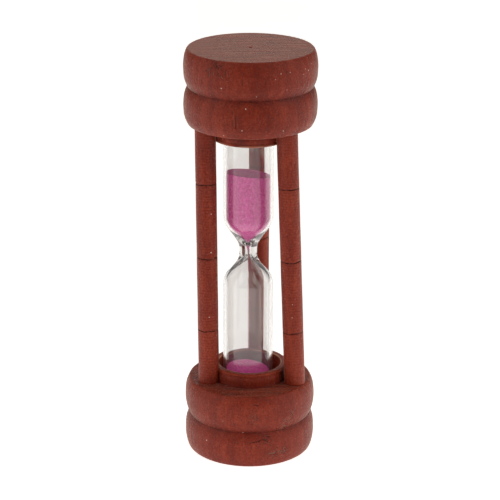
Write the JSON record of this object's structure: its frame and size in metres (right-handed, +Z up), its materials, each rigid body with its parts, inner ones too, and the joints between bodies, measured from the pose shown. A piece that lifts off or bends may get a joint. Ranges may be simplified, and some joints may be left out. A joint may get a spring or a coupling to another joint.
{
  "type": "hourglass",
  "caption": "Small hourglass: sealed glass vial of pink sand held between two turned, double-beaded wooden end caps joined by slim dowel posts.",
  "frame": {"origin": "centre of the base, on the surface the timer stands on", "axes": "+Z up along the frame's axis; -Y is the front, between the left and right posts; +X is to the right"},
  "size_m": [0.028, 0.028, 0.0889],
  "materials": {
    "cap_wood": "satin",
    "post_wood": "satin",
    "vial_glass": "polished",
    "cushion_felt": "matte",
    "pink_sand": "matte"
  },
  "bodies": {
    "frame": {"bottom_cap": "cap_wood", "top_cap": "cap_wood", "post_left": "post_wood", "post_right": "post_wood", "post_rear": "post_wood", "bottom_cushion": "cushion_felt", "top_cushion": "cushion_felt"},
    "vial": {"glass_vial": "vial_glass"},
    "sand_above": {"upper_sand": "pink_sand"},
    "sand_below": {"lower_sand": "pink_sand", "sand_stream": "pink_sand"}
  },
  "joints": [
    {"name": "vial_spin", "type": "hinge", "parent": "frame", "child": "vial", "pos_m": [-0.0004, 0, 0.0446], "axis": [0, 0, 1], "continuous": true},
    {"name": "sand_drain", "type": "slide", "parent": "vial", "child": "sand_above", "axis": [0, 0, -1], "range_m": [-0.0022, 0.0085], "deforming": ["upper_sand"]},
    {"name": "sand_rise", "type": "slide", "parent": "vial", "child": "sand_below", "axis": [0, 0, 1], "range_m": [-0.0022, 0.0085], "deforming": ["lower_sand", "sand_stream"]}
  ],
  "couplings": [
    {"joint": "sand_rise", "follows": "sand_drain", "ratio": 1}
  ]
}
